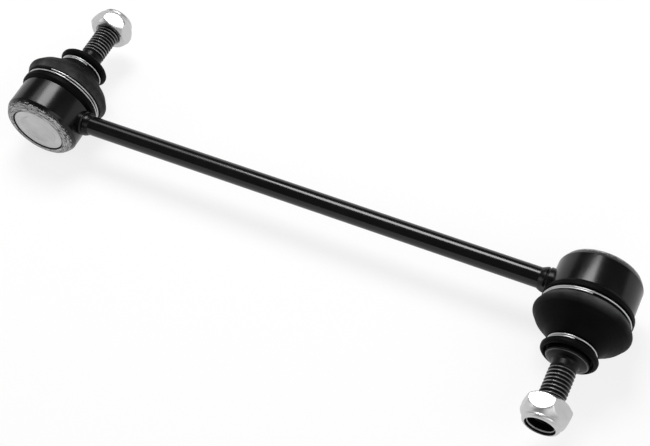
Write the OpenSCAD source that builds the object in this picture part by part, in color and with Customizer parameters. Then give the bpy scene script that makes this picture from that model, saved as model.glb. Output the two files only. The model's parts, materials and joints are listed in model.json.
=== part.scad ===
// Stabilizer link: a straight rod with a ball joint at each end.
// The rod lies along X and both studs lie along Y, pointing opposite ways. Millimetres.

/* [Link] */
// Distance between the two ball centres
link_length = 234; // [120:1:400]
// Diameter of the connecting rod
rod_d = 8; // [7:0.5:9]
// Thickness of the weld flash that stands proud of the rod
flash_height = 1.2; // [0.6:0.1:1.6]
// Length of the weld flash along the rod, outside the socket
flash_length = 4.2; // [3.4:0.1:6]

/* [Socket housing] */
// Outside diameter of the socket housing
housing_d = 32; // [31:0.5:38]
// Depth of the housing from the ball centre to its closed end
housing_depth = 10.7; // [10.5:0.1:14]
// Height of the painted wall above the ball centre, where the boot starts
boot_seat = 4.4; // [4.2:0.1:5]
// Height of the boot spigot above the ball centre
spigot_top = 10.6; // [10.2:0.1:11]
// Diameter of the boot spigot
spigot_d = 28.4; // [28:0.1:29]
// Thickness of the housing wall round the ball's seat
socket_wall = 3.75; // [3.5:0.05:4.1]
// How far the rolled rim reaches over the end plate
rim_overlap = 1.85; // [1.4:0.05:2.2]
// Radius of the roll on the rim's outer corner
rim_round = 1.2; // [0.8:0.1:1.4]
// Thickness of the end plate under the rim
plate_thickness = 1.7; // [1.4:0.1:1.9]
// Thickness of the rolled rim over the end plate
rim_thickness = 0.8; // [0.6:0.1:1]
// Diameter of the dish in the middle of the end plate
dish_d = 17; // [10:0.5:19]
// Depth of the dish in the end plate
dish_depth = 0.5; // [0.2:0.1:0.8]

/* [Ball and stud] */
// Diameter of the ball
ball_d = 16; // [15:0.5:16]
// Running gap between the ball and its seat
ball_gap = 0.05; // [0.02:0.01:0.08]
// Angle the stud can lean in each of two directions
lean = 18; // [10:1:18]
// Diameter of the stud's neck above the ball
neck_d = 8.4; // [7.6:0.2:8.6]
// Diameter of the stud where the boot grips it
grip_d = 12.8; // [12:0.2:13.2]
// Diameter of the stud's flange
flange_d = 16; // [15:0.5:17]
// Height of the flange rim above the ball centre
flange_top = 28.25; // [28:0.05:29]
// Diameter of the flat seat on top of the flange
seat_face_d = 13.2; // [12.4:0.2:14]
// Nominal diameter of the stud's thread
thread_d = 9.8; // [9.6:0.05:9.9]
// Height of the stud's tip above the ball centre
stud_tip = 51.6; // [51.2:0.1:52]

/* [Boot and rings] */
// Largest diameter of the boot
boot_d = 36.7; // [36:0.1:38]
// Radius of the boot's round bulge
bulge_r = 3.2; // [3:0.05:3.5]
// Thickness of the boot's wall
boot_wall = 1.9; // [1.4:0.1:2.2]
// Wire diameter of the ring at the boot's base
base_wire_d = 1.1; // [0.9:0.05:1.15]
// Wire diameter of the ring at the boot's neck
neck_wire_d = 0.8; // [0.6:0.05:0.85]
// Largest diameter of the boot's lip
lip_d = 21.3; // [20.6:0.1:22]

/* [Lock nut] */
// Width of the nut across its flats
nut_flats = 16; // [15.6:0.2:17]
// Height of the nut's bearing face above the ball centre
nut_face = 46; // [45.5:0.1:46.5]
// Height of the nut's domed end above the ball centre
nut_end = 55.4; // [55.2:0.1:55.8]
// Radius of the collar rolled over the nylon ring
roll_r = 1.25; // [1:0.05:1.4]
// Diameter of the pocket for the nylon ring
insert_d = 11.3; // [11:0.1:11.5]
// Angle that the nut at end a is turned about its stud
nut_angle_a = 26; // [0:1:60]
// Angle that the nut at end b is turned about its stud
nut_angle_b = 14; // [0:1:60]

/* [Output] */
// Sub-part to draw

/* [Hidden] */
$fn = 96;
// Small gap between pieces that are held together
slip = 0.02;
rod_r = rod_d / 2;
housing_r = housing_d / 2;
spigot_r = spigot_d / 2;
ball_r = ball_d / 2;
neck_r = neck_d / 2;
grip_r = grip_d / 2;
flange_r = flange_d / 2;
thread_r = thread_d / 2;
// The stud leans in two directions at once, so its cone is wider than one lean
cone_lean = acos(cos(lean) * cos(lean));
seat_cone = asin(neck_r / ball_r) + cone_lean + 2.5;
// Heights inside the socket, measured from the ball centre along the stud
plate_low = rim_thickness - housing_depth;
plate_high = plate_low + plate_thickness;
seat_top = 4.6;
seat_r = housing_r - socket_wall;
plate_r = seat_r + 1.1;
rim_r = plate_r - rim_overlap;
chamfer_low = 1.9 - housing_depth;
chamfer_high = chamfer_low + 1.4;
mouth_low_r = seat_top * tan(cone_lean) + neck_r / cos(cone_lean) + 1.4;
mouth_high_r = spigot_top * tan(cone_lean) + neck_r / cos(cone_lean) + 1.1;
groove_low = 7.5;
groove_high = 9.95;
spigot_groove = 0.5;
// Stud heights
neck_end = 13.5;
grip_start = 17.5;
flange_low = flange_top - 1.6;
seat_face = flange_top + 1.35;
thread_start = seat_face + 2.4;
thread_split = nut_face - 0.25;
shank_r = thread_r - 0.2;
lead_r = thread_r - 0.17;
// Boot heights and radii
boot_r = boot_d / 2;
bulge_mid = 12.8;
bulge_centre_r = boot_r - bulge_r;
cavity_r = bulge_r - boot_wall;
collar_r = boot_r - 1.25;
base_floor_r = collar_r - base_wire_d + 0.05;
lip_r = lip_d / 2;
neck_low = 22.55;
neck_high = 24.4;
neck_floor_r = lip_r - 2.05;
lip_top = 27.3;
waist_r = neck_floor_r + 3.4;
waist_top = neck_low - 3.35;
mouth_r = flange_r + 0.6;
// Nut radii
nut_bore_r = thread_r + 0.03;
insert_pocket_r = insert_d / 2;
insert_floor = nut_end - 3.9;
dome_r = nut_flats * 0.603;
washer_r = nut_flats / 2 - 0.3;
dome_mid = nut_end - 8.27;
roll_mid_r = insert_pocket_r + 0.1;

// Stands a piece at end a, where local Z is the stud and local X points along the rod
module at_a() {
  translate([-link_length / 2, 0, 0]) rotate([-90, 0, 0]) children();
}

// The same for end b, half a turn round
module at_b() {
  rotate([0, 0, 180]) at_a() children();
}

// A ring of round wire with two turns side by side
module wire_ring(wire_d, ring_r, low, high) {
  middle = (low + high) / 2;
  for (side = [-1, 1]) {
    translate([0, 0, middle + side * wire_d * 0.48]) rotate_extrude() translate([ring_r, 0]) circle(d = wire_d);
  }
}

// Joint half-section of the housing, solid right through
module housing_outline() {
  polygon([
    [0, -housing_depth],
    [housing_r - 2.4 - rim_round / 3, -housing_depth],
    [housing_r - 0.7, chamfer_low],
    [housing_r, chamfer_high],
    [housing_r, boot_seat],
    [spigot_r, boot_seat],
    [spigot_r, groove_low],
    [spigot_r - spigot_groove, groove_low + spigot_groove],
    [spigot_r - spigot_groove, groove_high - spigot_groove],
    [spigot_r, groove_high],
    [spigot_r, spigot_top],
    [0, spigot_top]
  ]);
  translate([housing_r - 2.4 - rim_round / 3, rim_round - housing_depth]) circle(r = rim_round);
}

// Hollow of the housing: rim opening, plate pocket, ball bore and stud mouth
module housing_hollow() {
  polygon([
    [0, -housing_depth - 1],
    [rim_r, -housing_depth - 1],
    [rim_r, plate_low],
    [plate_r, plate_low],
    [plate_r, plate_high],
    [seat_r, plate_high],
    [seat_r, seat_top],
    [mouth_low_r, seat_top],
    [mouth_high_r, spigot_top],
    [mouth_high_r, spigot_top + 1],
    [0, spigot_top + 1]
  ]);
}

module housing() {
  rotate_extrude() difference() {
    housing_outline();
    housing_hollow();
  }
}

// Stepped disc with a shallow dish, its edge under the rolled rim
module end_plate() {
  rotate_extrude() polygon([
    [0, plate_low - rim_thickness + 0.15 + dish_depth],
    [dish_d / 2 - dish_depth, plate_low - rim_thickness + 0.15 + dish_depth],
    [dish_d / 2, plate_low - rim_thickness + 0.15],
    [rim_r - 0.15, plate_low - rim_thickness + 0.15],
    [rim_r - 0.15, plate_low],
    [plate_r - slip, plate_low],
    [plate_r - slip, plate_high],
    [0, plate_high]
  ]);
}

// Plastic cup that wraps the ball past its widest point
module ball_seat() {
  difference() {
    translate([0, 0, plate_high]) cylinder(r = seat_r - slip, h = seat_top - plate_high);
    sphere(r = ball_r + ball_gap);
    cylinder(r1 = 0, r2 = 6 * tan(seat_cone), h = 6);
    translate([0, 0, plate_high - 1]) cylinder(r = 2.5, h = 3);
  }
}

// Ball, neck, boot grip, flange and threaded end
module ball_stud() {
  sphere(r = ball_r);
  rotate_extrude() polygon([
    [0, 0],
    [neck_r, 0],
    [neck_r, neck_end],
    [grip_r, grip_start],
    [grip_r, flange_low],
    [flange_r - 0.3, flange_low],
    [flange_r, flange_low + 0.3],
    [flange_r, flange_top],
    [seat_face_d / 2, seat_face],
    [shank_r, seat_face],
    [shank_r, thread_start],
    [thread_r, thread_start],
    [thread_r, thread_split],
    [lead_r, thread_split],
    [lead_r, stud_tip - 0.9],
    [lead_r - 0.9, stud_tip],
    [0, stud_tip]
  ]);
}

// Boot half-section, solid right through
module boot_outline() {
  polygon([
    [0, boot_seat],
    [housing_r + 0.2, boot_seat],
    [collar_r, boot_seat + 1.2],
    [collar_r, groove_high],
    [bulge_centre_r + bulge_r * cos(25), bulge_mid - bulge_r * sin(25)],
    [bulge_centre_r + bulge_r * cos(52), bulge_mid + bulge_r * sin(52)],
    [waist_r, waist_top],
    [neck_floor_r + 0.9, neck_low - 0.2],
    [neck_floor_r, neck_low],
    [neck_floor_r, neck_high],
    [lip_r - 0.5, neck_high + 0.4],
    [lip_r, neck_high + 1.2],
    [lip_r - 0.1, lip_top - 0.7],
    [lip_r - 0.7, lip_top],
    [0, lip_top]
  ]);
  translate([bulge_centre_r, bulge_mid]) circle(r = bulge_r);
}

// Hollow of the boot: spigot fit, air space, stud grip, mouth and the groove for the base ring
module boot_hollow() {
  polygon([
    [0, boot_seat - 1],
    [spigot_r + slip, boot_seat - 1],
    [spigot_r + slip, groove_low],
    [spigot_r + slip - spigot_groove, groove_low + spigot_groove],
    [spigot_r + slip - spigot_groove, groove_high - spigot_groove],
    [spigot_r + slip, groove_high],
    [spigot_r + slip, spigot_top + 0.2],
    [bulge_centre_r + cavity_r * cos(40), bulge_mid - cavity_r * sin(40)],
    [bulge_centre_r + cavity_r * cos(52), bulge_mid + cavity_r * sin(52)],
    [waist_r - boot_wall * 0.6, waist_top - boot_wall * 0.8],
    [grip_r + slip, neck_low - 1],
    [grip_r + slip, flange_low - 1],
    [mouth_r, flange_low - 0.4],
    [lip_r - 1.2, lip_top],
    [lip_r - 1.2, lip_top + 1],
    [0, lip_top + 1]
  ]);
  translate([bulge_centre_r, bulge_mid]) circle(r = cavity_r);
  translate([base_floor_r, groove_low]) square([boot_r, groove_high - groove_low]);
}

module boot() {
  rotate_extrude() difference() {
    boot_outline();
    boot_hollow();
  }
}

module boot_base_ring() {
  wire_ring(base_wire_d, base_floor_r + base_wire_d / 2 + slip, groove_low, groove_high);
}

module boot_neck_ring() {
  wire_ring(neck_wire_d, neck_floor_r + neck_wire_d / 2 + slip, neck_low, neck_high);
}

// Hexagon with chamfered corners, a domed end, a rolled collar, a thread bore and a pocket for the nylon ring
module lock_nut() {
  difference() {
    union() {
      intersection() {
        translate([0, 0, nut_face]) cylinder(d = nut_flats / cos(30), h = nut_end - nut_face - roll_r, $fn = 6);
        translate([0, 0, dome_mid]) sphere(r = dome_r);
        translate([0, 0, nut_face]) cylinder(r1 = washer_r, r2 = washer_r + 9, h = 9);
      }
      translate([0, 0, nut_end - roll_r]) rotate_extrude() translate([roll_mid_r, 0]) circle(r = roll_r);
    }
    translate([0, 0, nut_face - 1]) cylinder(r = nut_bore_r, h = nut_end - nut_face + 2);
    translate([0, 0, nut_face - 1]) cylinder(r1 = nut_bore_r + 1.6, r2 = nut_bore_r, h = 1.6);
    translate([0, 0, insert_floor]) cylinder(r = insert_pocket_r, h = nut_end - insert_floor + 1);
  }
}

module nylon_insert() {
  translate([0, 0, insert_floor + 0.05]) difference() {
    cylinder(r = insert_pocket_r - 0.05, h = 2.9);
    translate([0, 0, -1]) cylinder(r = nut_bore_r, h = 5);
  }
}

// Ridged flash where the rod's end is welded to the socket, trimmed beside the boot
module weld_collar() {
  difference() {
    rotate([0, 90, 0]) rotate_extrude() polygon([
      [rod_r + slip, housing_r - 4],
      [rod_r + flash_height, housing_r - 4],
      [rod_r + flash_height, housing_r + 0.8],
      [rod_r + flash_height * 0.5, housing_r + 1.5],
      [rod_r + flash_height * 0.85, housing_r + 2],
      [rod_r + flash_height * 0.85, housing_r + 2.6],
      [rod_r + flash_height * 0.4, housing_r + 3.1],
      [rod_r + flash_height * 0.15, housing_r + flash_length],
      [rod_r + slip, housing_r + flash_length]
    ]);
    translate([0, 0, -housing_depth]) cylinder(r = housing_r, h = 2 * housing_depth);
    translate([0, -rod_d, boot_seat - 0.1]) cube([link_length / 2, 2 * rod_d, rod_d]);
  }
}

module connecting_rod() {
  color("#181818") difference() {
    rotate([0, 90, 0]) cylinder(r = rod_r, h = link_length - 2 * housing_r + 8, center = true);
    for (side = [-1, 1]) {
      translate([side * link_length / 2, 0, 0]) rotate([90, 0, 0]) cylinder(r = housing_r, h = 4 * rod_d, center = true);
    }
  }
}

module weld_collar_a() {
  color("#1c1c1c") at_a() weld_collar();
}

module weld_collar_b() {
  color("#1c1c1c") at_b() weld_collar();
}

module housing_a() {
  color("#1a1a1a") at_a() housing();
}

module housing_b() {
  color("#1a1a1a") at_b() housing();
}

module end_plate_a() {
  color("#b5b5b5") at_a() end_plate();
}

module end_plate_b() {
  color("#b5b5b5") at_b() end_plate();
}

module ball_seat_a() {
  color("#e8e4d8") at_a() ball_seat();
}

module ball_seat_b() {
  color("#e8e4d8") at_b() ball_seat();
}

module ball_stud_a() {
  color("#2b2b2b") at_a() ball_stud();
}

module ball_stud_b() {
  color("#2b2b2b") at_b() ball_stud();
}

module boot_a() {
  color("#111111") at_a() boot();
}

module boot_b() {
  color("#111111") at_b() boot();
}

module boot_base_ring_a() {
  color("#c8c8c8") at_a() boot_base_ring();
}

module boot_base_ring_b() {
  color("#c8c8c8") at_b() boot_base_ring();
}

module boot_neck_ring_a() {
  color("#c8c8c8") at_a() boot_neck_ring();
}

module boot_neck_ring_b() {
  color("#c8c8c8") at_b() boot_neck_ring();
}

module lock_nut_a() {
  color("#d6d8da") at_a() rotate(nut_angle_a) lock_nut();
}

module lock_nut_b() {
  color("#d6d8da") at_b() rotate(nut_angle_b) lock_nut();
}

module nylon_insert_a() {
  color("#0e0e0e") at_a() nylon_insert();
}

module nylon_insert_b() {
  color("#0e0e0e") at_b() nylon_insert();
}

connecting_rod();
weld_collar_a();
weld_collar_b();
housing_a();
housing_b();
end_plate_a();
end_plate_b();
ball_seat_a();
ball_seat_b();
ball_stud_a();
ball_stud_b();
boot_a();
boot_b();
boot_base_ring_a();
boot_base_ring_b();
boot_neck_ring_a();
boot_neck_ring_b();
lock_nut_a();
lock_nut_b();
nylon_insert_a();
nylon_insert_b();
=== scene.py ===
"""Dresses a stabilizer link: painted rod and sockets, rolled rims and threads, wire rings, boots and nuts."""

import json
import math

import bmesh
import bpy
from mathutils import Euler, Matrix, Vector, noise


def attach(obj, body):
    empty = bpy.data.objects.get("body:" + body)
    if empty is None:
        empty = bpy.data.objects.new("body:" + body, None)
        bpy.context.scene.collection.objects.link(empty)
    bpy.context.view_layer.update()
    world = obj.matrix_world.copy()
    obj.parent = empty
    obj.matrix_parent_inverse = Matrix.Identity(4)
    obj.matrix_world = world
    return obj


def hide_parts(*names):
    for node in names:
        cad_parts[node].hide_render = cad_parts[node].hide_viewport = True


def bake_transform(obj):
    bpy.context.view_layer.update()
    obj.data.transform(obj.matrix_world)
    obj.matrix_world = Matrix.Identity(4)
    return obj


bl_info = {
    "name": "Stabilizer Link",
    "version": (1, 0, 0),
    "blender": (4, 5, 0),
    "location": "View3D > Sidebar > Link",
    "description": "Builds the finished surfaces of a stabilizer link on its packed solids",
    "category": "Object",
}

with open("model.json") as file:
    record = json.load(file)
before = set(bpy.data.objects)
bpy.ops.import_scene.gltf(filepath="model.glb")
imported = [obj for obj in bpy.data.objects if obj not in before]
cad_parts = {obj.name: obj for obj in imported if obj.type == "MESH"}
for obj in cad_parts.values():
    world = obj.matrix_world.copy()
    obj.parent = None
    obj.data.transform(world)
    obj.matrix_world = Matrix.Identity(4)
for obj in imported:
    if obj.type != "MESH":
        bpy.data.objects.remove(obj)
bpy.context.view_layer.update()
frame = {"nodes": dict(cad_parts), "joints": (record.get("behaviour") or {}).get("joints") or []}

MM = 0.001
JOINTS = {joint["name"]: joint for joint in frame["joints"]}
HALF_LINK = abs(JOINTS["lean_across_a"]["pos_m"][0])

# Radii, and distances from the ball's centre, in millimetres, where pieces meet
ROD_RADIUS = 4.0
ROD_INSET = 15.6
SOCKET_RADIUS = 16.0
SOCKET_TOP = 4.4
SPIGOT_RADIUS = 14.2
SPIGOT_TOP = 10.6
# The base ring presses the boot's bead into a groove of the spigot between these heights
GRIP_LOW, GRIP_HIGH = 7.5, 9.95
GRIP_SLOPE = 0.5
BEAD_RADIUS = 13.7
BASE_GROOVE = 16.08
NECK_GROOVE = 8.62
NECK_LOW, NECK_HIGH = 22.6, 24.35
# The end plate lies in a pocket behind the rolled rim
RIM_RADIUS = 11.5
RIM_FACE = -10.7
POCKET_RADIUS = 13.35
POCKET_LOW, POCKET_HIGH = -9.9, -8.2
# The stud's plain shank runs into the thread, which carries the nut and its nylon insert
SHANK_RADIUS = 4.7
THREAD_LOW, THREAD_HIGH = 31.6, 50.9
STUD_TIP = 51.6
NUT_SEAT = 46.0
INSERT_RADIUS = 5.65
INSERT_FOOT = 51.5
# Gaps that keep neighbours from touching
BOOT_GAP = 0.03
PLATE_GAP = 0.02
RING_GAP = 0.02
INSERT_GAP = 0.05
# How far the floor stays under the lowest piece, in metres
FLOOR_GAP = 0.0002

# Nearly all of a noise lies between these two values
NOISE_SPAN = {"From Min": 0.3, "From Max": 0.7}
# Handling marks and dust on the paint lie in patches about 12 mm wide
PAINT_PATCHES = {"Scale": 85.0, "Detail": 4.0, "Roughness": 0.6}

# Local axes at each end: X along the rod towards the middle, Z out along the stud
ENDS = {
    "a": Matrix(((1, 0, 0, -HALF_LINK), (0, 0, 1, 0), (0, -1, 0, 0), (0, 0, 0, 1))),
    "b": Matrix(((-1, 0, 0, HALF_LINK), (0, 0, -1, 0), (0, -1, 0, 0), (0, 0, 0, 1))),
}
# Turns local Z on to X, for what is turned about the rod
ROD_TURN = Matrix(((0, 0, 1, 0), (0, 1, 0, 0), (-1, 0, 0, 0), (0, 0, 0, 1)))


def linear(hex_colour):
    """An sRGB hex value as linear red, green and blue."""
    parts = [int(hex_colour[i : i + 2], 16) / 255 for i in (1, 3, 5)]
    return [c / 12.92 if c <= 0.04045 else ((c + 0.055) / 1.055) ** 2.4 for c in parts]


def length(name, description, default):
    """A size in metres that a user can change."""
    return bpy.props.FloatProperty(
        name=name, description=description, default=default, min=0.0, precision=5, unit="LENGTH"
    )


def colour(name, description, hex_colour):
    """A finish colour that a user can change."""
    return bpy.props.FloatVectorProperty(
        name=name, description=description, default=linear(hex_colour), min=0.0, max=1.0, subtype="COLOR"
    )


class LinkSizes(bpy.types.PropertyGroup):
    thread_pitch: length("Thread pitch", "Distance between two turns of the stud's thread", 1.5 * MM)
    thread_crest: length("Thread crest", "Radius of the thread's crests", 4.9 * MM)
    thread_root: length("Thread root", "Radius of the thread's roots", 4.08 * MM)
    base_wire: length("Base ring wire", "Diameter of the wire round the boot's base", 0.72 * MM)
    neck_wire: length("Neck ring wire", "Diameter of the wire round the boot's neck", 0.72 * MM)
    edge: length("Edge rounding", "Radius of small broken edges on turned pieces", 0.2 * MM)
    nut_flats: length("Nut across flats", "Width of the nut across its flats", 16 * MM)
    nut_angle_a: bpy.props.FloatProperty(
        name="Nut angle a", description="Turn of the nut at end a", default=math.radians(26), subtype="ANGLE"
    )
    nut_angle_b: bpy.props.FloatProperty(
        name="Nut angle b", description="Turn of the nut at end b", default=math.radians(14), subtype="ANGLE"
    )


class LinkColours(bpy.types.PropertyGroup):
    paint: colour("Paint", "Black coating on the rod and sockets", "#080808")
    bare_steel: colour("Bare steel", "Rolled rim and end plate", "#c8c8c8")
    phosphate: colour("Phosphate", "Dark finish on the studs", "#0b0b0b")
    rubber: colour("Rubber", "Boots", "#070707")
    spring_wire: colour("Spring wire", "Rings round the boots", "#c0c0c0")
    zinc: colour("Zinc", "Plating on the nuts", "#c8c8c8")
    nylon: colour("Nylon", "Rings in the nuts", "#0b0b0b")
    acetal: colour("Acetal", "Ball seats", "#e6e2d6")
    floor: colour("Floor", "Studio floor", "#f6f6f6")


def sizes():
    return bpy.context.scene.link_sizes


def colours():
    return bpy.context.scene.link_colours


def add(tree, kind, inputs=None, **settings):
    """Adds one node. Each input is a value, a socket to link from, or a node whose first output is linked."""
    node = tree.nodes.new(kind)
    for name, value in settings.items():
        setattr(node, name, value)
    for key, value in (inputs or {}).items():
        if isinstance(value, bpy.types.Node):
            value = value.outputs[0]
        if isinstance(value, bpy.types.NodeSocket):
            tree.links.new(value, node.inputs[key])
        else:
            node.inputs[key].default_value = value
    return node


def empty_material(name):
    """A new material and its emptied tree."""
    material = bpy.data.materials.new(name)
    material.use_nodes = True
    material.node_tree.nodes.clear()
    return material, material.node_tree


def tone(base, share):
    """A colour made darker or lighter by a share, with its alpha."""
    return (*[min(c * share, 1.0) for c in base], 1.0)


def black_coating(low, high, shine=0.38):
    """Baked electrophoretic black paint: a gloss between two roughnesses, over an orange peel 1.5 mm wide."""
    material, tree = empty_material("baked black coating")
    where = add(tree, "ShaderNodeTexCoord").outputs["Object"]
    # 1.5 mm waves: 1 / 0.0015 m = about 670 per metre
    peel = add(tree, "ShaderNodeTexNoise", {"Vector": where, "Scale": 670.0, "Detail": 2.0, "Roughness": 0.5})
    patches = add(tree, "ShaderNodeTexNoise", {"Vector": where, **PAINT_PATCHES})
    shade = add(tree, "ShaderNodeValToRGB", {"Fac": patches})
    for stop, (spot, share) in zip(shade.color_ramp.elements, ((0.3, 0.8), (0.75, 1.5))):
        stop.position = spot
        stop.color = tone(colours().paint, share)
    rough = add(tree, "ShaderNodeMapRange", {"Value": patches, **NOISE_SPAN, "To Min": low, "To Max": high})
    bump = add(tree, "ShaderNodeBump", {"Height": peel, "Strength": 0.025, "Distance": 0.0002})
    look = {"Base Color": shade, "Roughness": rough, "Normal": bump, "Specular IOR Level": shine}
    surface = add(tree, "ShaderNodeBsdfPrincipled", look)
    add(tree, "ShaderNodeOutputMaterial", {"Surface": surface})
    return material


def socket_finish():
    """Black coating that stops at the rolled rim, where the roller left bare steel with scores and pits."""
    material, tree = empty_material("black coating over rolled steel")
    where = add(tree, "ShaderNodeTexCoord").outputs["Object"]
    along = add(tree, "ShaderNodeAttribute", attribute_name="along_mm").outputs["Fac"]
    radius = add(tree, "ShaderNodeAttribute", attribute_name="radius_mm").outputs["Fac"]
    streak = add(tree, "ShaderNodeAttribute", attribute_name="streak_mm").outputs["Vector"]
    # Round the rim and across it, scores are about 5 by 0.3 mm, pits in the coating's edge 1.5 by 0.5 mm
    # and flecks of coating that stay behind 2 by 0.8 mm
    kinds = (((0.2, 0.2, 3.3), 6.0, 0.7), ((0.65, 0.65, 2.0), 8.0, 0.75), ((0.5, 0.5, 1.25), 4.0, 0.65))
    marks = []
    for per_mm, detail, roughness in kinds:
        drawn = add(tree, "ShaderNodeMapping", {"Vector": streak, "Scale": per_mm}, vector_type="POINT")
        grain = {"Vector": drawn, "Scale": 1.0, "Detail": detail, "Roughness": roughness}
        marks.append(add(tree, "ShaderNodeTexNoise", grain))
    scores, pits, flecks = marks
    # The coating begins about 8.9 mm below the ball's centre, with a ragged edge nearly a millimetre wide
    ragged = add(tree, "ShaderNodeMath", {0: pits, 1: 6.0, 2: along}, operation="MULTIPLY_ADD")
    bare = add(tree, "ShaderNodeMapRange", {"Value": ragged, "From Min": -5.9, "From Max": -6.4})
    # More flecks stay behind toward the coating's edge
    nearer = add(tree, "ShaderNodeMath", {0: along, 1: 0.045, 2: flecks}, operation="MULTIPLY_ADD")
    clear = add(tree, "ShaderNodeMapRange", {"Value": nearer, "From Min": 0.13, "From Max": 0.1})
    # The wall round the end plate keeps its dark coating, which also stands in as painted shade in the gap
    # beside the plate
    outside = add(tree, "ShaderNodeMapRange", {"Value": radius, "From Min": 11.6, "From Max": 11.8})
    clear = add(tree, "ShaderNodeMath", {0: clear, 1: outside}, operation="MULTIPLY")
    bare = add(tree, "ShaderNodeMath", {0: bare, 1: clear}, operation="MULTIPLY")
    steel = add(tree, "ShaderNodeValToRGB", {"Fac": scores})
    for stop, (spot, share) in zip(steel.color_ramp.elements, ((0.4, 0.12), (0.6, 0.95))):
        stop.position = spot
        stop.color = tone(colours().bare_steel, share)
    patches = add(tree, "ShaderNodeTexNoise", {"Vector": where, **PAINT_PATCHES})
    between = {"Factor": patches, 6: tone(colours().paint, 0.8), 7: tone(colours().paint, 1.5)}
    coat = add(tree, "ShaderNodeMix", between, data_type="RGBA").outputs[2]
    mixed = add(tree, "ShaderNodeMix", {"Factor": bare, 6: coat, 7: steel}, data_type="RGBA").outputs[2]
    satin = add(tree, "ShaderNodeMapRange", {"Value": scores, **NOISE_SPAN, "To Min": 0.58, "To Max": 0.38})
    gloss = add(tree, "ShaderNodeMapRange", {"Value": patches, **NOISE_SPAN, "To Min": 0.2, "To Max": 0.27})
    rough = add(tree, "ShaderNodeMix", {"Factor": bare, 2: gloss, 3: satin}, data_type="FLOAT")
    height = add(tree, "ShaderNodeMath", {0: scores, 1: bare}, operation="MULTIPLY")
    bump = add(tree, "ShaderNodeBump", {"Height": height, "Strength": 0.5, "Distance": 0.0003})
    look = {"Base Color": mixed, "Metallic": bare, "Roughness": rough, "Normal": bump}
    surface = add(tree, "ShaderNodeBsdfPrincipled", {**look, "Specular IOR Level": 0.28})
    add(tree, "ShaderNodeOutputMaterial", {"Surface": surface})
    return material


def turned_steel():
    """Bare pressed and turned steel: light grey and satin, with fine rings about 0.4 mm apart."""
    material, tree = empty_material("turned bare steel")
    where = add(tree, "ShaderNodeTexCoord").outputs["Object"]
    radius = add(tree, "ShaderNodeAttribute", attribute_name="radius_mm").outputs["Fac"]
    ripple = {"W": radius, "Scale": 2.5, "Detail": 5.0, "Roughness": 0.7}
    rings = add(tree, "ShaderNodeTexNoise", ripple, noise_dimensions="1D")
    # Stains about 6 mm wide
    blots = {"Vector": where, "Scale": 160.0, "Detail": 5.0, "Roughness": 0.6}
    stains = add(tree, "ShaderNodeTexNoise", blots)
    base = colours().bare_steel
    between = {"Factor": stains, 6: tone(base, 0.65), 7: tone(base, 1.05)}
    stained = add(tree, "ShaderNodeMix", between, data_type="RGBA").outputs[2]
    # Painted shade: the plate's edge in the gap round it is painted in the coating's dark colour, as shade
    # falls there
    edge = {"Value": radius, "From Min": 10.95, "From Max": 11.12, "To Min": 1.0, "To Max": 0.05}
    beyond_gap_shade = add(tree, "ShaderNodeMapRange", edge)
    between = {"Factor": beyond_gap_shade, 6: tone(colours().paint, 1.0), 7: stained}
    shade = add(tree, "ShaderNodeMix", between, data_type="RGBA").outputs[2]
    rough = add(tree, "ShaderNodeMapRange", {"Value": rings, **NOISE_SPAN, "To Min": 0.34, "To Max": 0.48})
    bump = add(tree, "ShaderNodeBump", {"Height": rings, "Strength": 0.12, "Distance": 0.0001})
    look = {"Base Color": shade, "Metallic": 1.0, "Roughness": rough, "Normal": bump}
    surface = add(tree, "ShaderNodeBsdfPrincipled", look)
    add(tree, "ShaderNodeOutputMaterial", {"Surface": surface})
    return material


def phosphated_steel():
    """Oiled manganese phosphate on steel: near black, with thread crests rubbed back to bright steel."""
    material, tree = empty_material("oiled phosphated steel")
    where = add(tree, "ShaderNodeTexCoord").outputs["Object"]
    crest = add(tree, "ShaderNodeAttribute", attribute_name="crest").outputs["Fac"]
    # Crystals are a few hundredths of a millimetre; drawn at 0.3 mm so that they show
    crystals = add(tree, "ShaderNodeTexNoise", {"Vector": where, "Scale": 3300.0, "Detail": 2.0})
    oil = add(tree, "ShaderNodeTexNoise", {"Vector": where, "Scale": 300.0, "Detail": 4.0, "Roughness": 0.6})
    base = colours().phosphate
    between = {"Factor": oil, 6: tone(base, 0.6), 7: tone(base, 1.6)}
    dark = add(tree, "ShaderNodeMix", between, data_type="RGBA").outputs[2]
    bared = {"Value": crest, "From Min": 0.66, "From Max": 0.97, "To Max": 0.9}
    worn = add(tree, "ShaderNodeMapRange", bared)
    # The crests are rubbed unevenly, in stretches about 6 mm long
    stretches = add(tree, "ShaderNodeTexNoise", {"Vector": where, "Scale": 160.0, "Detail": 2.0})
    rubbing = {"Value": stretches, "From Min": 0.4, "From Max": 0.6, "To Min": 0.35}
    uneven = add(tree, "ShaderNodeMapRange", rubbing)
    worn = add(tree, "ShaderNodeMath", {0: worn, 1: uneven}, operation="MULTIPLY")
    bright = tone(colours().bare_steel, 0.75)
    shade = add(tree, "ShaderNodeMix", {"Factor": worn, 6: dark, 7: bright}, data_type="RGBA").outputs[2]
    dull = add(tree, "ShaderNodeMapRange", {"Value": oil, **NOISE_SPAN, "To Min": 0.26, "To Max": 0.4})
    # Rubbed crests are polished, so they glint along one side
    rough = add(tree, "ShaderNodeMix", {"Factor": worn, 2: dull, 3: 0.27}, data_type="FLOAT")
    bump = add(tree, "ShaderNodeBump", {"Height": crystals, "Strength": 0.08, "Distance": 0.0001})
    look = {"Base Color": shade, "Metallic": worn, "Roughness": rough, "Normal": bump}
    surface = add(tree, "ShaderNodeBsdfPrincipled", {**look, "Specular IOR Level": 0.14})
    add(tree, "ShaderNodeOutputMaterial", {"Surface": surface})
    return material


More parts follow.
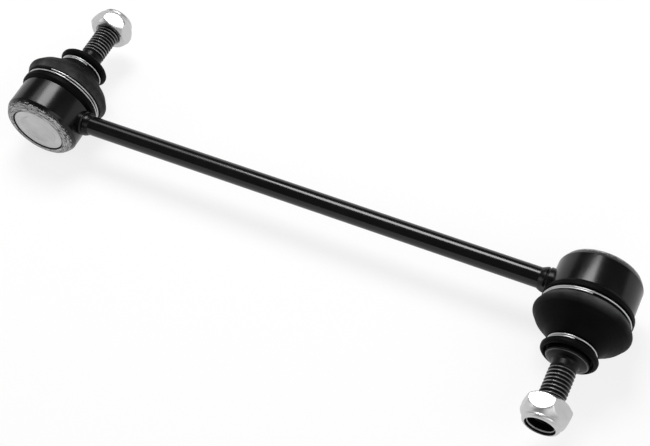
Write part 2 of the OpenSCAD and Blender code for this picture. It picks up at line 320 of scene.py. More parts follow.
def moulded_rubber():
    """Moulded chloroprene rubber: deep black and matt, with a fine skin texture, and pale dust with a painted
    sheen on its shoulder.
    """
    material, tree = empty_material("moulded chloroprene rubber")
    where = add(tree, "ShaderNodeTexCoord").outputs["Object"]
    along = add(tree, "ShaderNodeAttribute", attribute_name="along_mm").outputs["Fac"]
    # Skin texture of 0.5 mm: 1 / 0.0005 m = 2000 per metre
    skin = add(tree, "ShaderNodeTexNoise", {"Vector": where, "Scale": 2000.0, "Detail": 3.0})
    # Dust and painted sheen lie in patches about 9 mm wide
    cloudy = {"Vector": where, "Scale": 110.0, "Detail": 5.0, "Roughness": 0.6}
    patches = add(tree, "ShaderNodeTexNoise", cloudy)
    # It settles on the shoulder beside the base ring, and thins out over the widest part; the same pale tone
    # also stands in as a painted sheen there
    above = add(tree, "ShaderNodeMapRange", {"Value": along, "From Min": 9.8, "From Max": 10.1})
    below = add(tree, "ShaderNodeMapRange", {"Value": along, "From Min": 14.6, "From Max": 10.6})
    uneven = {"Value": patches, "From Min": 0.35, "From Max": 0.65, "To Min": 0.3}
    thick = add(tree, "ShaderNodeMapRange", uneven)
    dust_and_sheen = add(tree, "ShaderNodeMath", {0: above, 1: below}, operation="MULTIPLY")
    dust_and_sheen = add(tree, "ShaderNodeMath", {0: dust_and_sheen, 1: thick}, operation="MULTIPLY")
    base = colours().rubber
    # Painted sheen and dust: the shoulder is lightened toward a dust grey
    between = {"Factor": dust_and_sheen, 6: tone(base, 0.8), 7: tone(base, 36)}
    shade = add(tree, "ShaderNodeMix", between, data_type="RGBA").outputs[2]
    rough = add(tree, "ShaderNodeMapRange", {"Value": patches, **NOISE_SPAN, "To Min": 0.46, "To Max": 0.6})
    bump = add(tree, "ShaderNodeBump", {"Height": skin, "Strength": 0.12, "Distance": 0.0001})
    look = {"Base Color": shade, "Roughness": rough, "Normal": bump, "Specular IOR Level": 0.05}
    surface = add(tree, "ShaderNodeBsdfPrincipled", look)
    add(tree, "ShaderNodeOutputMaterial", {"Surface": surface})
    return material


def bright_metal(name, base, grain, low, high):
    """A bright plated or drawn metal whose gloss varies over patches of the given grain in millimetres."""
    material, tree = empty_material(name)
    where = add(tree, "ShaderNodeTexCoord").outputs["Object"]
    cloudy = {"Vector": where, "Scale": 1000.0 / grain, "Detail": 2.0, "Roughness": 0.5}
    patches = add(tree, "ShaderNodeTexNoise", cloudy)
    between = {"Factor": patches, 6: tone(base, 0.85), 7: tone(base, 1.1)}
    shade = add(tree, "ShaderNodeMix", between, data_type="RGBA").outputs[2]
    rough = add(tree, "ShaderNodeMapRange", {"Value": patches, **NOISE_SPAN, "To Min": low, "To Max": high})
    bump = add(tree, "ShaderNodeBump", {"Height": patches, "Strength": 0.04, "Distance": 0.0001})
    look = {"Base Color": shade, "Metallic": 1.0, "Roughness": rough, "Normal": bump}
    surface = add(tree, "ShaderNodeBsdfPrincipled", look)
    add(tree, "ShaderNodeOutputMaterial", {"Surface": surface})
    return material


def moulded_plastic(name, base, roughness, lip=None):
    """A moulded plastic with a faint mottle 2 mm wide, rubbed pale within a lip's radius above its foot, the
    pale ring partly a painted highlight on the lip's edge.
    """
    material, tree = empty_material(name)
    where = add(tree, "ShaderNodeTexCoord").outputs["Object"]
    mottle = add(tree, "ShaderNodeTexNoise", {"Vector": where, "Scale": 500.0, "Detail": 3.0})
    between = {"Factor": mottle, 6: tone(base, 0.85), 7: tone(base, 1.15)}
    shade = add(tree, "ShaderNodeMix", between, data_type="RGBA").outputs[2]
    if lip:
        edge, foot = lip
        fade = 0.08
        radius = add(tree, "ShaderNodeAttribute", attribute_name="radius_mm").outputs["Fac"]
        along = add(tree, "ShaderNodeAttribute", attribute_name="along_mm").outputs["Fac"]
        inside = add(tree, "ShaderNodeMapRange", {"Value": radius, "From Min": edge + fade, "From Max": edge})
        above = add(tree, "ShaderNodeMapRange", {"Value": along, "From Min": foot, "From Max": foot + fade})
        # Painted highlight: the pale ring is partly scuffing and partly stands in for light caught on the
        # lip's edge
        rubbed = add(tree, "ShaderNodeMath", {0: inside, 1: above}, operation="MULTIPLY")
        pale = (*[c + 0.48 for c in base], 1)
        between = {"Factor": rubbed, 6: shade, 7: pale}
        shade = add(tree, "ShaderNodeMix", between, data_type="RGBA").outputs[2]
    look = {"Base Color": shade, "Roughness": roughness, "Specular IOR Level": 0.03}
    surface = add(tree, "ShaderNodeBsdfPrincipled", look)
    add(tree, "ShaderNodeOutputMaterial", {"Surface": surface})
    return material


def dressed(name, mesh, material, smooth_to=32):
    """A new object for a finished mesh, smooth except over sharp edges."""
    mesh.materials.clear()
    mesh.materials.append(material)
    mesh.polygons.foreach_set("use_smooth", [True] * len(mesh.polygons))
    mesh.set_sharp_from_angle(angle=math.radians(smooth_to))
    piece = bpy.data.objects.new(name, mesh)
    bpy.context.scene.collection.objects.link(piece)
    return piece


def eased(points):
    """Rounds the corners of an outline. Each point is a radius, a height and a rounding, in millimetres."""
    count = len(points)
    outline = []
    for i, (r, s, ease) in enumerate(points):
        here = Vector((r, s))
        before = Vector(points[i - 1][:2]) - here
        after = Vector(points[(i + 1) % count][:2]) - here
        if ease <= 0 or before.length < 1e-9 or after.length < 1e-9:
            outline.append((r, s))
            continue
        turn = before.angle(after)
        if turn > math.radians(176) or turn < math.radians(4):
            outline.append((r, s))
            continue
        reach = min(ease / math.tan(turn / 2), before.length * 0.48, after.length * 0.48)
        radius = reach * math.tan(turn / 2)
        start = here + before.normalized() * reach
        end = here + after.normalized() * reach
        inward = (before.normalized() + after.normalized()).normalized()
        middle = here + inward * (radius / math.sin(turn / 2))
        sweep = math.pi - turn
        steps = max(3, int(math.degrees(sweep) / 9))
        for k in range(steps + 1):
            mix = start.lerp(end, k / steps) - middle
            outline.append(tuple(middle + mix.normalized() * radius))
    return outline


def finer(outline, longest):
    """Adds points to an outline until no span is longer than a length in millimetres."""
    dense = []
    for here, there in zip(outline, outline[1:]):
        steps = math.ceil(math.dist(here, there) / longest)
        dense += [tuple(a + (b - a) * k / steps for a, b in zip(here, there)) for k in range(steps)]
    return dense + outline[-1:]


def arc(centre, radius, start, stop, steps):
    """Points of a round bead or bulge, from one angle to another in degrees."""
    spread = [math.radians(start + (stop - start) * k / steps) for k in range(steps + 1)]
    return [(centre[0] + radius * math.cos(a), centre[1] + radius * math.sin(a)) for a in spread]


def turned(name, outline, place, segments=128, closed=True):
    """A mesh turned about local Z from an outline in millimetres, storing its height, radius and streaks."""
    mesh = bpy.data.meshes.new(name)
    work = bmesh.new()
    along = work.verts.layers.float.new("along_mm")
    radial = work.verts.layers.float.new("radius_mm")
    streak = work.verts.layers.float_vector.new("streak_mm")
    widest = max(r for r, s in outline)
    rings = []
    travelled = 0.0
    for i, (r, s) in enumerate(outline):
        if i:
            travelled += math.dist(outline[i - 1], (r, s))
        count = 1 if r < 1e-6 else segments
        ring = []
        for k in range(count):
            turn = 2 * math.pi * k / segments
            vert = work.verts.new(place @ (Vector((r * math.cos(turn), r * math.sin(turn), s)) * MM))
            vert[along] = s
            vert[radial] = r
            vert[streak] = (widest * math.cos(turn), widest * math.sin(turn), travelled)
            ring.append(vert)
        rings.append(ring)
    pairs = list(zip(rings, rings[1:]))
    if closed:
        pairs.append((rings[-1], rings[0]))
    for low, high in pairs:
        for k in range(segments):
            j = (k + 1) % segments
            corners = []
            for vert in (low[k % len(low)], low[j % len(low)], high[j % len(high)], high[k % len(high)]):
                if vert not in corners:
                    corners.append(vert)
            if len(corners) > 2:
                work.faces.new(corners)
    bmesh.ops.recalc_face_normals(work, faces=work.faces)
    work.to_mesh(mesh)
    work.free()
    return mesh


def grown(name, tree, values, place, material):
    """Runs a node tree on an empty mesh, and returns the plain mesh that it made, set in place."""
    holder = bpy.data.objects.new(name, bpy.data.meshes.new(name + "_seed"))
    bpy.context.scene.collection.objects.link(holder)
    modifier = holder.modifiers.new("Build", "NODES")
    modifier.node_group = tree
    for socket in tree.interface.items_tree:
        if socket.item_type == "SOCKET" and socket.in_out == "INPUT" and socket.name in values:
            modifier[socket.identifier] = values[socket.name]
    evaluated = holder.evaluated_get(bpy.context.evaluated_depsgraph_get())
    mesh = bpy.data.meshes.new_from_object(evaluated)
    holder.modifiers.remove(modifier)
    bpy.data.objects.remove(holder)
    mesh.transform(place)
    mesh.name = name
    mesh.materials.clear()
    mesh.materials.append(material)
    work = bmesh.new()
    work.from_mesh(mesh)
    bmesh.ops.remove_doubles(work, verts=work.verts, dist=1e-7)
    bmesh.ops.holes_fill(work, edges=[edge for edge in work.edges if edge.is_boundary], sides=0)
    bmesh.ops.recalc_face_normals(work, faces=work.faces)
    work.to_mesh(mesh)
    work.free()
    return mesh


def new_tree(name, inputs):
    """An empty geometry tree with named inputs, and the sockets that give them."""
    tree = bpy.data.node_groups.new(name, "GeometryNodeTree")
    for label, kind in inputs:
        tree.interface.new_socket(name=label, in_out="INPUT", socket_type=kind)
    tree.interface.new_socket(name="Geometry", in_out="OUTPUT", socket_type="NodeSocketGeometry")
    return tree, add(tree, "NodeGroupInput").outputs


def thread_tree():
    """A rolled right-hand thread: a sheet wrapped round the stud, its radius set by the turn and height."""
    inputs = [(name, "NodeSocketFloat") for name in ("Pitch", "Crest", "Root", "Shank", "Length")]
    inputs += [("Around", "NodeSocketInt"), ("Along", "NodeSocketInt"), ("Material", "NodeSocketMaterial")]
    tree, given = new_tree("rolled thread", inputs)
    counts = {"Vertices X": given["Around"], "Vertices Y": given["Along"]}
    sheet = add(tree, "GeometryNodeMeshGrid", {"Size X": 1.0, "Size Y": 1.0, **counts})
    place = add(tree, "GeometryNodeInputPosition")
    flat = add(tree, "ShaderNodeSeparateXYZ", {"Vector": place}).outputs
    turn = add(tree, "ShaderNodeMath", {0: flat["X"], 1: 0.5}, operation="ADD")
    share = add(tree, "ShaderNodeMath", {0: flat["Y"], 1: 0.5}, operation="ADD")
    angle = add(tree, "ShaderNodeMath", {0: turn, 1: 2 * math.pi}, operation="MULTIPLY")
    height = add(tree, "ShaderNodeMath", {0: share, 1: given["Length"]}, operation="MULTIPLY")
    turns = add(tree, "ShaderNodeMath", {0: height, 1: given["Pitch"]}, operation="DIVIDE")
    lag = add(tree, "ShaderNodeMath", {0: turns, 1: turn}, operation="SUBTRACT")
    # Up one flank and down the other over each turn, with flats at the crest and the root
    flank = add(tree, "ShaderNodeMath", {0: lag, 1: 0.5}, operation="PINGPONG")
    form = add(tree, "ShaderNodeMapRange", {"Value": flank, "From Min": 0.12, "From Max": 0.44})
    cut = add(tree, "ShaderNodeMapRange", {"Value": form, "To Min": given["Root"], "To Max": given["Crest"]})
    # The first turn runs out into the plain shank
    smooth = {"interpolation_type": "SMOOTHSTEP"}
    run_out = add(tree, "ShaderNodeMapRange", {"Value": turns, "From Max": 1.2}, **smooth)
    # The last turn sinks under the chamfer at the tip
    total = add(tree, "ShaderNodeMath", {0: given["Length"], 1: given["Pitch"]}, operation="DIVIDE")
    left = add(tree, "ShaderNodeMath", {0: total, 1: turns}, operation="SUBTRACT")
    lead_in = add(tree, "ShaderNodeMapRange", {"Value": left, "From Max": 0.7}, **smooth)
    begun = add(tree, "ShaderNodeMix", {0: lead_in, 2: given["Root"], 3: cut}, data_type="FLOAT")
    radius = add(tree, "ShaderNodeMix", {0: run_out, 2: given["Shank"], 3: begun}, data_type="FLOAT")
    cosine = add(tree, "ShaderNodeMath", {0: angle}, operation="COSINE")
    sine = add(tree, "ShaderNodeMath", {0: angle}, operation="SINE")
    x = add(tree, "ShaderNodeMath", {0: cosine, 1: radius}, operation="MULTIPLY")
    y = add(tree, "ShaderNodeMath", {0: sine, 1: radius}, operation="MULTIPLY")
    wrapped = add(tree, "ShaderNodeCombineXYZ", {"X": x, "Y": y, "Z": height})
    # The wear on the crests is stored while the sheet is flat, because it is read from the same positions
    worn = add(tree, "ShaderNodeMath", {0: form, 1: run_out}, operation="MULTIPLY")
    mark = {"Geometry": sheet, "Name": "crest", "Value": worn}
    marked = add(tree, "GeometryNodeStoreNamedAttribute", mark, data_type="FLOAT", domain="POINT")
    shaped = add(tree, "GeometryNodeSetPosition", {"Geometry": marked, "Position": wrapped})
    real = add(tree, "GeometryNodeRealizeInstances", {"Geometry": shaped})
    coloured = add(tree, "GeometryNodeSetMaterial", {"Geometry": real, "Material": given["Material"]})
    add(tree, "NodeGroupOutput", {"Geometry": coloured})
    return tree


def coil_tree():
    """A ring of round wire that laps over itself, swept along a helix less than two turns long."""
    inputs = [(name, "NodeSocketFloat") for name in ("Radius", "Wire", "Turns", "Rise")]
    tree, given = new_tree("lapped wire ring", [*inputs, ("Material", "NodeSocketMaterial")])
    path = {"Resolution": 144, "Rotations": given["Turns"], "Height": given["Rise"]}
    path.update({"Start Radius": given["Radius"], "End Radius": given["Radius"]})
    spine = add(tree, "GeometryNodeCurveSpiral", path)
    half = add(tree, "ShaderNodeMath", {0: given["Wire"], 1: 0.5}, operation="MULTIPLY")
    section = add(tree, "GeometryNodeCurvePrimitiveCircle", {"Resolution": 16, "Radius": half}, mode="RADIUS")
    sweep = {"Curve": spine, "Profile Curve": section, "Fill Caps": True}
    wire = add(tree, "GeometryNodeCurveToMesh", sweep)
    real = add(tree, "GeometryNodeRealizeInstances", {"Geometry": wire})
    coloured = add(tree, "GeometryNodeSetMaterial", {"Geometry": real, "Material": given["Material"]})
    add(tree, "NodeGroupOutput", {"Geometry": coloured})
    return tree


def floor_tree():
    """Lowers the floor until it lies just under the lowest of the pieces that reach down furthest."""
    tree, given = new_tree("floor under the lowest piece", [("Geometry", "NodeSocketGeometry")])
    heap = add(tree, "GeometryNodeJoinGeometry")
    for name in ("boot_skirt_a", "boot_skirt_b", "nut_a", "nut_b", "stud_a", "stud_b"):
        reached = {"Object": bpy.data.objects[name]}
        piece = add(tree, "GeometryNodeObjectInfo", reached, transform_space="RELATIVE")
        tree.links.new(piece.outputs["Geometry"], heap.inputs[0])
    box = add(tree, "GeometryNodeBoundBox", {0: heap})
    lowest = add(tree, "ShaderNodeSeparateXYZ", {0: box.outputs["Min"]}).outputs["Z"]
    clear = add(tree, "ShaderNodeMath", {0: lowest, 1: FLOOR_GAP}, operation="SUBTRACT")
    drop = add(tree, "ShaderNodeCombineXYZ", {"Z": clear})
    moved = add(tree, "GeometryNodeSetPosition", {"Geometry": given["Geometry"], "Offset": drop})
    add(tree, "NodeGroupOutput", {"Geometry": moved})
    return tree


class LINK_OT_rod(bpy.types.Operator):
    """Makes the straight rod and the ridged weld flash at both of its ends"""

    bl_idname = "link.rod"
    bl_label = "Rod and welds"

    def execute(self, context):
        coating = black_coating(0.13, 0.2)
        scaled = black_coating(0.22, 0.3, 0.2)
        # What stands proud of the rod has lumps about 2.4 mm wide, and is trimmed flat beside the boot
        proud = ROD_RADIUS + 0.05
        lumps_per_metre = 420
        lump_share = 0.015
        trim = 4.3
        reach = HALF_LINK / MM - ROD_INSET
        side = finer([(ROD_RADIUS, -reach), (ROD_RADIUS, reach)], 8.0)
        outline = [(0, -reach), *side, (0, reach)]
        rod = dressed("rod", turned("rod", outline, ROD_TURN, 96, closed=False), coating)
        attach(rod, "link")
        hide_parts("connecting_rod")
        for end, place in ENDS.items():
            # Outward ridges of upset metal, then the flash thins out along the rod
            ridges = [(5.1, 14.6, 0), (5.12, 16.9, 0.35), (4.55, 17.4, 0.25), (4.95, 18.0, 0.4)]
            ridges += [(4.6, 19.0, 0.8), (4.1, 20.15, 0.5), (3.9, 20.2, 0), (3.9, 14.6, 0)]
            mesh = turned("weld_flash_" + end, eased(ridges), ROD_TURN, 96)
            shift = Vector((7 * (end == "b"), 0, 0))
            for vert in mesh.vertices:
                around = Vector((0, vert.co.y, vert.co.z))
                if around.length > proud * MM:
                    around *= 1 + lump_share * noise.noise(vert.co * lumps_per_metre + shift)
                    vert.co.y, vert.co.z = around.y, around.z
                vert.co.z = min(vert.co.z, trim * MM)
            mesh.transform(place)
            flash = dressed("weld_flash_" + end, mesh, scaled, 40)
            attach(flash, "link")
            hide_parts("weld_collar_" + end)
        return {"FINISHED"}


class LINK_OT_sockets(bpy.types.Operator):
    """Makes the ball sockets with their rolled rims, and the end plates that they hold"""

    bl_idname = "link.sockets"
    bl_label = "Sockets and end plates"

    def execute(self, context):
        coating = socket_finish()
        steel = turned_steel()
        acetal = moulded_plastic("moulded acetal", colours().acetal, 0.4)
        edge = sizes().edge / MM
        for end, place in ENDS.items():
            outline = eased(
                [
                    (RIM_RADIUS, POCKET_LOW, 0),
                    (RIM_RADIUS, RIM_FACE, 0.3),
                    (13.45, RIM_FACE, 0.5),
                    (14.5, -10.05, 0.8),
                    (15.3, -8.8, 0.5),
                    (SOCKET_RADIUS, -7.4, 0.7),
                    (SOCKET_RADIUS, SOCKET_TOP, edge),
                    (SPIGOT_RADIUS, SOCKET_TOP, 0),
                    (SPIGOT_RADIUS, GRIP_LOW, 0),
                    (BEAD_RADIUS, GRIP_LOW + GRIP_SLOPE, 0),
                    (BEAD_RADIUS, GRIP_HIGH - GRIP_SLOPE, 0),
                    (SPIGOT_RADIUS, GRIP_HIGH, 0),
                    (SPIGOT_RADIUS, SPIGOT_TOP, 0.3),
                    (10.8, SPIGOT_TOP, 0.3),
                    (8.2, 4.6, 0),
                    (12.25, 4.6, 0),
                    (12.25, POCKET_HIGH, 0),
                    (POCKET_RADIUS, POCKET_HIGH, 0),
                    (POCKET_RADIUS, POCKET_LOW, 0),
                ]
            )
            socket = dressed("socket_" + end, turned("socket_" + end, outline, place, 160), coating, 34)
            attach(socket, "link")
            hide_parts("housing_" + end)
            plate_outline = eased(
                [
                    (0, -9.4, 0),
                    (6.9, -9.45, 1.2),
                    (8.2, -10.35, 0.5),
                    (11.15, -10.35, 0.3),
                    (11.15, POCKET_LOW, 0),
                    (POCKET_RADIUS - PLATE_GAP, POCKET_LOW, 0),
                    (POCKET_RADIUS - PLATE_GAP, POCKET_HIGH, 0),
                    (0, POCKET_HIGH, 0),
                ]
            )
            plate = dressed("plate_" + end, turned("plate_" + end, plate_outline, place, 128), steel, 34)
            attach(plate, "link")
            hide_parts("end_plate_" + end)
            seat = frame["nodes"]["ball_seat_" + end]
            seat.data.materials.clear()
            seat.data.materials.append(acetal)
        return {"FINISHED"}


class LINK_OT_studs(bpy.types.Operator):
    """Makes the ball studs, each with a ball, a flange and a rolled thread"""

    bl_idname = "link.studs"
    bl_label = "Ball studs"

    def execute(self, context):
        steel = phosphated_steel()
        thread = thread_tree()
        given = sizes()
        ball_radius = 8.0
        for end, place in ENDS.items():
            ball = arc((0, 0), ball_radius, -90, 57.5, 40)
            ball[0] = (0, -ball_radius)
            upper = eased(
                [
                    (4.3, 6.75, 0.6),
                    (4.2, 13.5, 2.0),
                    (6.4, 17.5, 1.2),
                    (6.4, 26.65, 0.2),
                    (7.9, 26.65, 0.25),
                    (8.0, 28.2, 0.15),
                    (7.65, 28.6, 0.2),
                    (6.2, 29.25, 0.6),
                    (SHANK_RADIUS, 29.62, 1.1),
                    (SHANK_RADIUS, THREAD_LOW, 0),
                    (4.3, THREAD_LOW + 0.1, 0),
                    (3.6, THREAD_LOW + 0.1, 0),
                ]
            )
            # The tip is chamfered, with a shallow centre mark
            tip = eased(
                [
                    (3.6, THREAD_HIGH - 0.4, 0),
                    (4.55, THREAD_HIGH - 0.3, 0),
                    (4.5, 51.25, 0.1),
                    (4.15, STUD_TIP, 0.1),
                    (1.6, STUD_TIP, 0.1),
                    (0.6, 51.0, 0),
                    (0, 50.9, 0),
                ]
            )
            body = turned("stud_" + end, ball + upper + tip, place, 112, closed=False)
            # The chamfer at the tip and the edge of the flange's seat are marked on the thread's crest scale;
            # only the seat's edge is marked high enough to show rubbed
            crest = body.attributes.new("crest", "FLOAT", "POINT")
            heights = [item.value for item in body.attributes["along_mm"].data]
            radii = [item.value for item in body.attributes["radius_mm"].data]
            for spot, h, r in zip(crest.data, heights, radii):
                on_chamfer = h > 51.1 and r > 4.05
                on_seat_edge = 28.3 < h < 28.75 and 7.4 < r < 7.9
                spot.value = 0.6 * on_chamfer + 0.79 * on_seat_edge
            shank = dressed("stud_" + end, body, steel, 34)
            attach(shank, "stud_" + end)
            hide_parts("ball_stud_" + end)
            values = {
                "Pitch": given.thread_pitch,
                "Crest": given.thread_crest,
                "Root": given.thread_root,
                "Shank": SHANK_RADIUS * MM,
                "Length": (THREAD_HIGH - THREAD_LOW) * MM,
                "Around": 97,
                "Along": 200,
                "Material": steel,
            }
            lifted = place @ Matrix.Translation((0, 0, THREAD_LOW * MM))
            mesh = grown("stud_thread_" + end, thread, values, lifted, steel)
            turns = dressed("stud_thread_" + end, mesh, steel, 80)
            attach(turns, "stud_" + end)
            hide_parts("ball_stud_" + end)
        return {"FINISHED"}


class LINK_OT_boots(bpy.types.Operator):
    """Makes the rubber boots between the socket and the stud, each in two pieces"""

    bl_idname = "link.boots"
    bl_label = "Boots"

    def execute(self, context):
        rubber = moulded_rubber()
        # Both pieces of a boot meet at this height
        seam = 17.6
        # The boot's foot stands just clear of the socket's top
        foot = SOCKET_TOP + 0.02
        hold = SPIGOT_RADIUS + BOOT_GAP
        bead = BEAD_RADIUS + BOOT_GAP + 0.01
        outer = eased(
            [
                (hold, foot, 0),
                (16.2, foot, 0.3),
                (17.1, 5.6, 0.5),
                (17.1, 7.3, 0.35),
                (BASE_GROOVE, GRIP_LOW, 0.2),
                (BASE_GROOVE, GRIP_HIGH, 0.2),
                (17.25, 10.0, 0.25),
                (18.595, 12.8, 1.6),
                (16.25, 16.0, 3.0),
                (14.125, seam, 0),
                (12.0, 19.2, 4.0),
                (9.5, 22.3, 0.5),
                (NECK_GROOVE, NECK_LOW, 0.1),
                (NECK_GROOVE, NECK_HIGH, 0.1),
                (9.9, 24.6, 0.4),
                (10.65, 25.5, 0.7),
                (10.55, 26.6, 0.5),
                (9.9, 27.3, 0.35),
                (9.3, 27.25, 0.3),
                (8.5, 25.9, 0.4),
                (6.45, 25.4, 0),
            ]
        )
        inner = eased(
            [
                (6.43, 21.6, 0),
                (7.8, 21.4, 1.0),
                (9.3, 20.7, 1.0),
                (14.7, 16.2, 3.0),
                (17.0, 13.6, 0.5),
                (17.2, 12.8, 0.5),
                (16.0, 11.0, 0.5),
                (hold + 0.01, 10.8, 0),
                (hold, GRIP_HIGH, 0),
                (bead, GRIP_HIGH - GRIP_SLOPE, 0),
                (bead, GRIP_LOW + GRIP_SLOPE, 0),
                (hold, GRIP_LOW, 0),
            ]
        )
        outer, inner = finer(outer, 0.5), finer(inner, 0.6)
        # The outside goes up from the foot and has a point at the seam; the inside comes down past it
        split = next(i for i, (r, s) in enumerate(outer) if s >= seam)
        below = next(i for i, (r, s) in enumerate(inner) if s < seam)
        (high_r, high_s), (low_r, low_s) = inner[below - 1 : below + 1]
        inside = (high_r + (low_r - high_r) * (high_s - seam) / (high_s - low_s), seam)
        skirt_outline = outer[: split + 1] + [inside] + inner[below:]
        crown_outline = outer[split:] + inner[:below] + [inside]
        for end, place in ENDS.items():
            skirt_mesh = turned("boot_skirt_" + end, skirt_outline, place, 160)
            crown_mesh = turned("boot_crown_" + end, crown_outline, place, 160)
            skirt = dressed("boot_skirt_" + end, skirt_mesh, rubber, 50)
            crown = dressed("boot_crown_" + end, crown_mesh, rubber, 50)
            for piece in (skirt, crown):
                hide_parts("boot_" + end)
            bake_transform(skirt)
            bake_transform(crown)
        return {"FINISHED"}


class LINK_OT_rings(bpy.types.Operator):
    """Makes the lapped wire rings at the base and the neck of each boot"""

    bl_idname = "link.rings"
    bl_label = "Boot rings"

    def execute(self, context):
        given = sizes()
        wire = bright_metal("drawn spring wire", colours().spring_wire, 1.2, 0.32, 0.4)
        tree = coil_tree()
        # Where each ring's wire starts, turned about the stud
        laps = {"a": (52, 308), "b": (49, 14)}
        for end, place in ENDS.items():
            base_turn, neck_turn = laps[end]
            # The laps of the base ring lie close together at end b
            base_top = GRIP_HIGH - 0.01 if end == "a" else 9.3
            neck_foot, neck_top = NECK_LOW - 0.02, NECK_HIGH + 0.02
            # Name, wire, groove, turns, foot, top and first turn, then the node and the body
            base = ("base_ring_", given.base_wire, BASE_GROOVE, 1.4, GRIP_LOW + 0.01, base_top, base_turn)
            neck = ("neck_ring_", given.neck_wire, NECK_GROOVE, 1.3, neck_foot, neck_top, neck_turn)
            rows = [(*base, "boot_base_ring_", "link"), (*neck, "boot_neck_ring_", "boot_neck_" + end)]
            for label, thick, groove, turns, low, high, start, node, body in rows:
                radius = (groove + RING_GAP) * MM + thick / 2
                rise = (high - low) * MM - thick
                values = {"Radius": radius, "Wire": thick, "Turns": turns, "Rise": rise, "Material": wire}
                lift = Matrix.Translation((0, 0, low * MM + thick / 2))
                where = place @ lift @ Matrix.Rotation(math.radians(start), 4, "Z")
                ring = dressed(label + end, grown(label + end, tree, values, where, wire), wire, 50)
                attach(ring, body)
                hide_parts(node + end)
        return {"FINISHED"}


def nut_radius(turn, height, half_flats):
    """How far the nut's side stands out at one turn and height, in millimetres, with its edges broken."""
    dome_radius, dome_centre = 9.65, 47.13
    chamfer_width = 0.3
    soft = 0.06
    sector = (turn + math.pi / 6) % (math.pi / 3) - math.pi / 6
    hexagon = half_flats / math.cos(math.pi / 6 - abs(sector))
    dome = math.sqrt(max(dome_radius**2 - (height - dome_centre) ** 2, 0.0))
    chamfer = half_flats - chamfer_width + (height - NUT_SEAT)
    # The least of the three, eased where two of them meet
    total = sum(math.exp((half_flats - r) / soft) for r in (hexagon, dome, chamfer))
    return half_flats - soft * math.log(total)


class LINK_OT_nuts(bpy.types.Operator):
    """Makes the hexagon lock nuts and the nylon rings inside them"""

    bl_idname = "link.nuts"
    bl_label = "Lock nuts"

    def execute(self, context):
        given = sizes()
        zinc = bright_metal("bright zinc plating", colours().zinc, 3.0, 0.34, 0.42)
        nylon = moulded_plastic("moulded nylon", colours().nylon, 0.65, lip=(5.09, 54.06))
        half = given.nut_flats / 2 / MM
        around = 288
        turns = [2 * math.pi * k / around for k in range(around)]
        # Rows lie closer together over the chamfer at the seat
        heights = [NUT_SEAT + 0.12 * k for k in range(16)] + [NUT_SEAT + 2 + 0.15 * k for k in range(39)]
        rows = [([nut_radius(turn, height, half) for turn in turns], height) for height in heights]
        # The collar is rolled over the nylon ring, then the pocket and the bore go back down
        inner = arc((5.75, 54.15), 1.25, -14, 94, 16)
        inner += [(INSERT_RADIUS, 54.9), (INSERT_RADIUS, INSERT_FOOT), (4.96, INSERT_FOOT)]
        inner += [(4.94, NUT_SEAT + 1), (5.9, NUT_SEAT + 0.05), (6.1, NUT_SEAT)]
        rows += [([r] * around, height) for r, height in inner]
        for end, place in ENDS.items():
            angle = given.nut_angle_a if end == "a" else given.nut_angle_b
            mesh = bpy.data.meshes.new("nut_" + end)
            work = bmesh.new()
            rings = []
            spun = place @ Matrix.Rotation(angle, 4, "Z")
            for radii, height in rows:
                ring = []
                for r, turn in zip(radii, turns):
                    spot = Vector((r * math.cos(turn), r * math.sin(turn), height)) * MM
                    ring.append(work.verts.new(spun @ spot))
                rings.append(ring)
            for low, high in zip(rings, rings[1:] + rings[:1]):
                for k in range(around):
                    j = (k + 1) % around
                    work.faces.new((low[k], low[j], high[j], high[k]))
            bmesh.ops.recalc_face_normals(work, faces=work.faces)
            work.to_mesh(mesh)
            work.free()
            nut = dressed("nut_" + end, mesh, zinc, 28)
            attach(nut, "nut_" + end)
            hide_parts("lock_nut_" + end)
            # The ring's face rises to the rolled collar that holds it
            foot, wall = INSERT_FOOT + INSERT_GAP, INSERT_RADIUS - INSERT_GAP
            face = [(wall, 55.2, 0.05), (5.2, 54.55, 0.1), (4.95, 54.4, 0.2)]
            outline = eased([(4.95, foot, 0), (wall, foot, 0), *face])
            grip = dressed("nut_nylon_" + end, turned("nut_nylon_" + end, outline, place, 96), nylon, 40)
            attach(grip, "insert_" + end)
            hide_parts("nylon_insert_" + end)
        return {"FINISHED"}


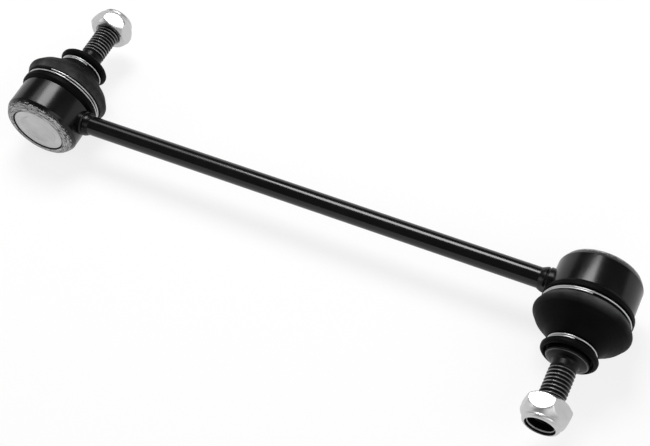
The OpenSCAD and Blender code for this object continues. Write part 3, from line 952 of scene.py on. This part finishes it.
class LINK_OT_stage(bpy.types.Operator):
    """Sets the pale floor, the soft lights and the camera"""

    bl_idname = "link.stage"
    bl_label = "Stage"

    def execute(self, context):
        scene = context.scene
        scene.view_settings.view_transform = "Standard"
        # A flat floor 10 m across that curves up into a low wall all round
        cove = [(0, 0), (800, 0), (3000, 0), (5000, 0)] + arc((5000, 1500), 1500, -90, 0, 12)[1:]
        mesh = turned("floor", cove, Matrix.Identity(4), 96, closed=False)
        floor = bpy.data.objects.new("floor", mesh)
        scene.collection.objects.link(floor)
        floor.modifiers.new("Lower to the lowest piece", "NODES").node_group = floor_tree()
        material, tree = empty_material("matt white floor")
        look = {"Base Color": tone(colours().floor, 1.0), "Roughness": 0.9, "Specular IOR Level": 0.1}
        surface = add(tree, "ShaderNodeBsdfPrincipled", look)
        # Seen by the camera or in a reflection, the floor shines by part of itself, so that it stays white
        path = add(tree, "ShaderNodeLightPath").outputs
        direct = {0: path["Is Camera Ray"], 1: path["Is Glossy Ray"]}
        seen = add(tree, "ShaderNodeMath", direct, operation="MAXIMUM")
        seen = add(tree, "ShaderNodeMath", {0: seen, 1: path["Is Transmission Ray"]}, operation="MAXIMUM")
        # Far from the lamps it shines by all of itself
        spot = add(tree, "ShaderNodeNewGeometry").outputs["Position"]
        away = add(tree, "ShaderNodeVectorMath", {0: spot}, operation="LENGTH").outputs["Value"]
        ramp = {"Value": away, "From Min": 0.5, "From Max": 1.6, "To Min": 0.8}
        part = add(tree, "ShaderNodeMapRange", ramp)
        share = add(tree, "ShaderNodeMath", {0: seen, 1: part}, operation="MULTIPLY")
        glow = add(tree, "ShaderNodeEmission", {"Color": (1, 1, 1, 1), "Strength": 1.0})
        both = add(tree, "ShaderNodeMixShader", {0: share, 1: surface, 2: glow})
        add(tree, "ShaderNodeOutputMaterial", {"Surface": both})
        mesh.materials.append(material)
        world = bpy.data.worlds.new("studio")
        world.use_nodes = True
        sky = world.node_tree.nodes["Background"].inputs
        sky["Color"].default_value = (1, 1, 1, 1)
        sky["Strength"].default_value = 0.12
        scene.world = world
        # Each lamp's name, its place and extent in metres, and its power in watts
        lamps = [
            ("key_softbox", (-0.14, 0.31, 0.68), (0.34, 0.28), 4.3),
            ("key_wing", (-0.43, 0.3, 0.66), (0.24, 0.28), 0.6),
            ("front_softbox", (0.45, -0.95, 0.9), (0.7, 0.7), 2.4),
            ("right_softbox", (0.9, -0.35, 0.85), (0.7, 0.7), 2.6),
            ("back_softbox", (1.05, 0.1, 0.75), (0.7, 0.7), 2.4),
            ("left_softbox", (-1.1, -0.6, 0.65), (0.5, 0.5), 2.4),
        ]
        for name, spot, extent, power in lamps:
            lamp = bpy.data.lights.new(name, "AREA")
            lamp.shape = "RECTANGLE"
            lamp.size, lamp.size_y = extent
            lamp.energy = power
            holder = bpy.data.objects.new(name, lamp)
            holder.location = spot
            holder.rotation_euler = (-Vector(spot)).to_track_quat("-Z", "Y").to_euler()
            scene.collection.objects.link(holder)
        # The camera stands above end b, on the side where its stud points, and looks down along the link
        lens = bpy.data.cameras.new("camera")
        lens.lens = 70.0
        lens.sensor_width = 36.0
        lens.sensor_fit = "HORIZONTAL"
        camera = bpy.data.objects.new("camera", lens)
        camera.location = (0.1637, -0.23514, 0.39748)
        camera.rotation_euler = Euler([math.radians(a) for a in (34.073, 5.392, 25.538)], "XYZ")
        scene.collection.objects.link(camera)
        scene.camera = camera
        return {"FINISHED"}


PIECES = (
    LINK_OT_rod,
    LINK_OT_sockets,
    LINK_OT_studs,
    LINK_OT_boots,
    LINK_OT_rings,
    LINK_OT_nuts,
    LINK_OT_stage,
)


class LINK_PT_panel(bpy.types.Panel):
    """Lists the steps that build the link"""

    bl_idname = "LINK_PT_panel"
    bl_label = "Stabilizer Link"
    bl_space_type = "VIEW_3D"
    bl_region_type = "UI"
    bl_category = "Link"

    def draw(self, context):
        for piece in PIECES:
            self.layout.operator(piece.bl_idname)
        for group in (context.scene.link_sizes, context.scene.link_colours):
            for name in group.__annotations__:
                self.layout.prop(group, name)


CLASSES = (LinkSizes, LinkColours, *PIECES, LINK_PT_panel)


def register():
    for each in CLASSES:
        bpy.utils.register_class(each)
    bpy.types.Scene.link_sizes = bpy.props.PointerProperty(type=LinkSizes)
    bpy.types.Scene.link_colours = bpy.props.PointerProperty(type=LinkColours)


def unregister():
    del bpy.types.Scene.link_colours
    del bpy.types.Scene.link_sizes
    for each in reversed(CLASSES):
        bpy.utils.unregister_class(each)


def main():
    register()
    bpy.ops.link.rod()
    bpy.ops.link.sockets()
    bpy.ops.link.studs()
    bpy.ops.link.boots()
    bpy.ops.link.rings()
    bpy.ops.link.nuts()
    bpy.ops.link.stage()


if __name__ == "__main__":
    main()
